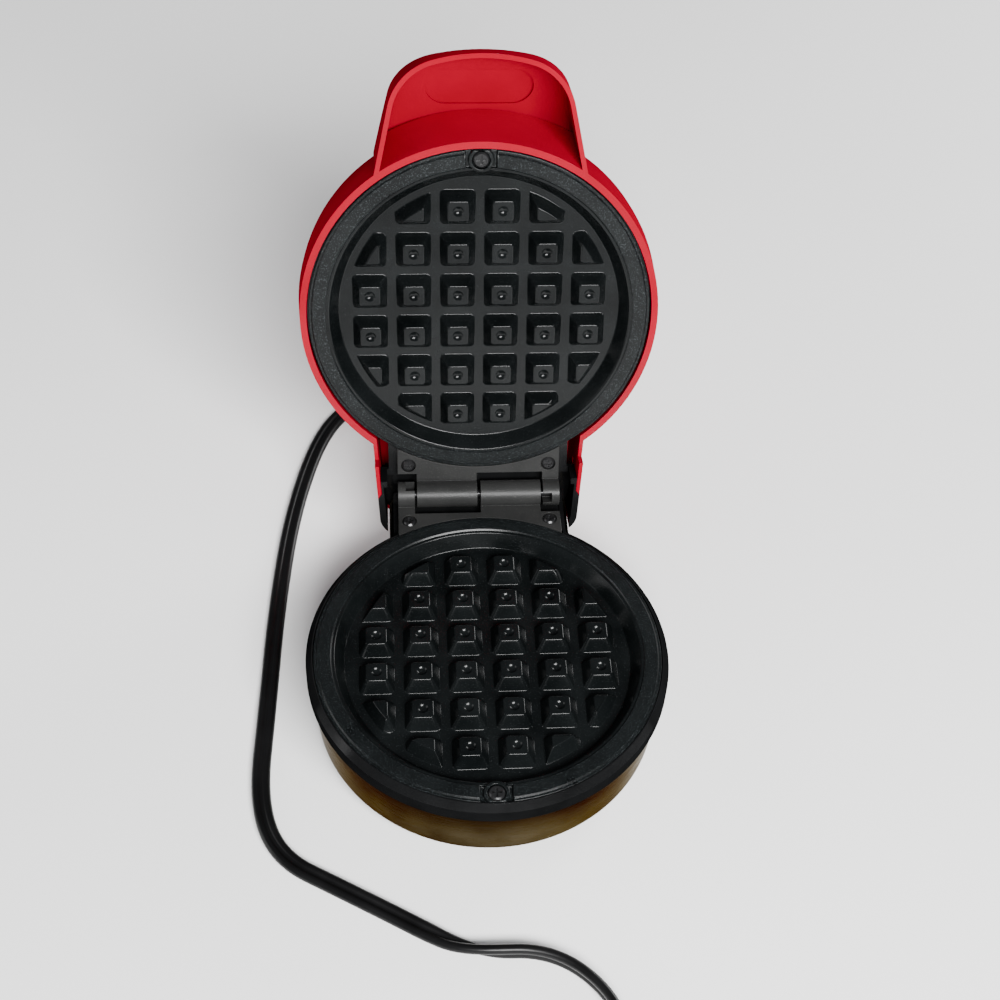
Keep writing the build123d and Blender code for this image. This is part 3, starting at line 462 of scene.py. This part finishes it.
finishes = {
    "red_gloss": red_shell(),
    "steel": drawn_steel(),
    "nonstick": nonstick_coat(),
    "bright_steel": plain_metal("bright_steel", (0.56, 0.56, 0.57), 0.28),
    "reflector": plain_metal("reflector", (0.78, 0.78, 0.80), 0.30, 250.0),
    "heater_sheath": plain_metal("heater_sheath", (0.32, 0.31, 0.30), 0.48, 600.0),
    "brass_blades": plain_metal("brass_blades", (0.66, 0.58, 0.42), 0.25),
    "lens": lens_plastic(),
}
for look_name, look in speckled_looks.items():
    finishes[look_name] = speckled_finish(look_name, **look)

make_camera()

# Power cord: the route's points, as the model has them
cord_route = [
    (0, 0.090, 0.0076),
    (0, 0.097, 0.0076),
    (0, 0.111, CORD_Z),
    (0, 0.135, CORD_Z),
    (-0.017, 0.152, CORD_Z),
    (-0.041, 0.152, CORD_Z),
    (-0.058, 0.135, CORD_Z),
    (-0.069, 0.093, CORD_Z),
    (-0.074, 0.046, CORD_Z),
    (-0.076, 0.000, CORD_Z),
    (-0.078, -0.036, CORD_Z),
    (-0.0705, -0.0577, CORD_Z),
    (-0.050, -0.0695, CORD_Z),
    (-0.028, -0.0824, CORD_Z),
    (-0.009, -0.094, CORD_Z),
    (0.018, -0.094, CORD_Z),
    (0.037, -0.113, CORD_Z),
    (0.037, -0.138, CORD_Z),
    (0.019, -0.156, CORD_Z),
    (-0.020, -0.156, CORD_Z),
    (-0.034, -0.156, PLUG_Z),
    (-0.041, -0.156, PLUG_Z),
]


def spline_points(route, resolution):
    """Points along the smooth NURBS line that has the route as its control points."""
    curve = bpy.data.curves.new("cord_line", "CURVE")
    curve.dimensions = "3D"
    curve.resolution_u = resolution
    spline = curve.splines.new("NURBS")
    spline.points.add(len(route) - 1)
    for point, place in zip(spline.points, route):
        point.co = (*place, 1)
    spline.order_u = 3
    spline.use_endpoint_u = True
    line = bpy.data.objects.new("cord_line", curve)
    bpy.context.scene.collection.objects.link(line)
    bpy.context.view_layer.update()
    depsgraph = bpy.context.evaluated_depsgraph_get()
    sampled = bpy.data.meshes.new_from_object(line.evaluated_get(depsgraph))
    points = [v.co.copy() for v in sampled.vertices]
    bpy.data.objects.remove(line)
    bpy.data.curves.remove(curve)
    bpy.data.meshes.remove(sampled)
    return points


def cord_section():
    """Section of the two-core lead: two round cores joined by a web, as (across, up) points."""
    core = CORD_HEIGHT / 2
    centre = CORD_WIDTH / 2 - core
    points = []
    for side in (1, -1):
        for step in range(-8, 9):
            angle = math.radians(step * 15) + (0 if side > 0 else math.pi)
            points.append((side * centre + core * math.cos(angle), core * math.sin(angle)))
        points.append((0.0, side * 0.45 * core))
    return points


def cord_turn(point):
    """Angle at a point: on edge where the lead bends in front of the base, and flat elsewhere."""
    if point.y > -0.05:
        return 0.0
    rise = min(1.0, max(0.0, (point.x - TURN_X) / TURN_LENGTH))
    fall = min(1.0, max(0.0, (point.y - UNTURN_Y) / UNTURN_LENGTH))
    blend = rise * fall
    return TURN_ANGLE * blend * blend * (3 - 2 * blend)


def lay_along(name, path, section, turns):
    """Tube mesh that follows a path with a constant section, turned about its line by angles."""
    mesh = bmesh.new()
    rings = []
    for i, point in enumerate(path):
        ahead = path[min(i + 1, len(path) - 1)]
        behind = path[max(i - 1, 0)]
        along = (ahead - behind).normalized()
        side = along.cross(Vector((0, 0, 1))).normalized()
        up = side.cross(along)
        turn = turns[i]
        lift = (CORD_WIDTH - CORD_HEIGHT) / 2 * math.sin(turn)
        point = point + Vector((0, 0, lift))
        across = side * math.cos(turn) + up * math.sin(turn)
        over = up * math.cos(turn) - side * math.sin(turn)
        rings.append([mesh.verts.new(point + across * a + over * b) for a, b in section])
    count = len(section)
    for first, second in zip(rings, rings[1:]):
        for j in range(count):
            k = (j + 1) % count
            mesh.faces.new((first[j], first[k], second[k], second[j]))
    mesh.faces.new(list(reversed(rings[0])))
    mesh.faces.new(rings[-1])
    bmesh.ops.recalc_face_normals(mesh, faces=mesh.faces)
    data = bpy.data.meshes.new(name)
    mesh.to_mesh(data)
    mesh.free()
    for face in data.polygons:
        face.use_smooth = len(face.vertices) == 4
    return data


def make_join_group():
    """Geometry steps that join a node's faces at shared edges, so that a bevel can round them."""
    group = bpy.data.node_groups.new("joined_edges", "GeometryNodeTree")
    group.interface.new_socket(name="Geometry", in_out="INPUT", socket_type="NodeSocketGeometry")
    group.interface.new_socket(name="Geometry", in_out="OUTPUT", socket_type="NodeSocketGeometry")
    start = add_node(group, "NodeGroupInput")
    join = add_node(group, "GeometryNodeMergeByDistance")
    join.inputs["Distance"].default_value = JOIN_DISTANCE
    plain = add_node(group, "GeometryNodeRemoveAttribute")
    plain.inputs["Name"].default_value = "custom_normal"
    angle = add_node(group, "GeometryNodeInputMeshEdgeAngle")
    gentle = add_node(group, "FunctionNodeCompare", data_type="FLOAT", operation="LESS_THAN")
    gentle.inputs[1].default_value = EDGE_ANGLE
    faces = add_node(group, "GeometryNodeSetShadeSmooth", domain="FACE")
    edges = add_node(group, "GeometryNodeSetShadeSmooth", domain="EDGE")
    end = add_node(group, "NodeGroupOutput")
    group.links.new(angle.outputs["Unsigned Angle"], gentle.inputs[0])
    group.links.new(gentle.outputs["Result"], edges.inputs["Shade Smooth"])
    steps = [start, join, plain, faces, edges, end]
    for first, second in zip(steps, steps[1:]):
        group.links.new(first.outputs["Geometry"], second.inputs["Geometry"])
    return group


cord_path = spline_points(cord_route, 10)
cord_turns = [cord_turn(point) for point in cord_path]
cord_mesh = lay_along("cord", cord_path, cord_section(), cord_turns)
cord_piece = add_mesh("cord", cord_mesh, "base", finishes["cord_vinyl"])
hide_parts("power_cord")

# Every node of the model keeps its place and takes its finish; those named here get a fine bevel
join_group = make_join_group()
bevel_widths = {
    "lid_cover": 0.0004,
    "base_frame": 0.0003,
    "lower_plate": 0.00035,
    "upper_plate": 0.00035,
    "lower_hinge_bracket": 0.0003,
    "upper_hinge_bracket": 0.0003,
    "lid_frame": 0.0003,
    "plug": 0.0004,
    "strain_relief": 0.0002,
}
for part in frame["record"]["subparts"]:
    node = nodes[part["node"]]
    finish = finishes[part["material_slot"]]
    if node.data.materials:
        for i in range(len(node.data.materials)):
            node.data.materials[i] = finish
    else:
        node.data.materials.append(finish)
    width = bevel_widths.get(part["node"])
    if width:
        joined = node.modifiers.new("joined_edges", "NODES")
        joined.node_group = join_group
        flats = node.modifiers.new("joined_flats", "DECIMATE")
        flats.decimate_type = "DISSOLVE"
        flats.angle_limit = FLAT_ANGLE
        edge = node.modifiers.new("soft_edges", "BEVEL")
        edge.width = width
        edge.segments = 3
        edge.limit_method = "ANGLE"
        edge.angle_limit = EDGE_ANGLE
        if "plate" in part["node"]:
            edge.angle_limit = PLATE_EDGE_ANGLE
            edge.use_clamp_overlap = False
        edge.harden_normals = True


def add_stage():
    """Pale floor that runs on under everything."""
    mesh = bmesh.new()
    bmesh.ops.create_grid(mesh, x_segments=2, y_segments=2, size=3)
    data = bpy.data.meshes.new("studio_floor")
    mesh.to_mesh(data)
    mesh.free()
    floor = bpy.data.objects.new("studio_floor", data)
    bpy.context.scene.collection.objects.link(floor)
    material, tree, shader = new_material("studio_floor")
    place = add_node(tree, "ShaderNodeTexCoord").outputs["Object"]
    tone = ramp(tree, noise(tree, place, 6, 2), 0.3, 0.7)
    colour = blend_colour(tree, tone, (0.90, 0.90, 0.895, 1), (0.92, 0.92, 0.915, 1))
    tree.links.new(colour, shader.inputs["Base Color"])
    shader.inputs["Roughness"].default_value = 0.7
    data.materials.append(material)


def add_light(name, place, aim, size, power):
    """Soft rectangular studio light."""
    data = bpy.data.lights.new(name, "AREA")
    data.shape = "RECTANGLE"
    data.size, data.size_y = size
    data.energy = power
    light = bpy.data.objects.new(name, data)
    light.location = place
    light.rotation_euler = (Vector(aim) - Vector(place)).to_track_quat("-Z", "Y").to_euler()
    bpy.context.scene.collection.objects.link(light)


add_stage()
add_light("key", (0.25, -0.85, 0.85), (0, 0.02, 0.05), (0.8, 0.3), 50)
add_light("back_right", (0.8, 0.7, 0.35), (0, 0.03, 0.06), (0.4, 0.5), 8)
add_light("left", (-0.95, 0.0, 0.35), (0, 0.03, 0.06), (0.5, 0.5), 2.5)
add_light("front", (0.0, -1.1, 0.16), (0, 0.0, 0.06), (1.4, 0.22), 2)

world = bpy.data.worlds.new("studio")
bpy.context.scene.world = world
world.use_nodes = True
sky = world.node_tree.nodes["Background"]
sky.inputs["Color"].default_value = (0.92, 0.94, 1.0, 1)
sky.inputs["Strength"].default_value = 0.16
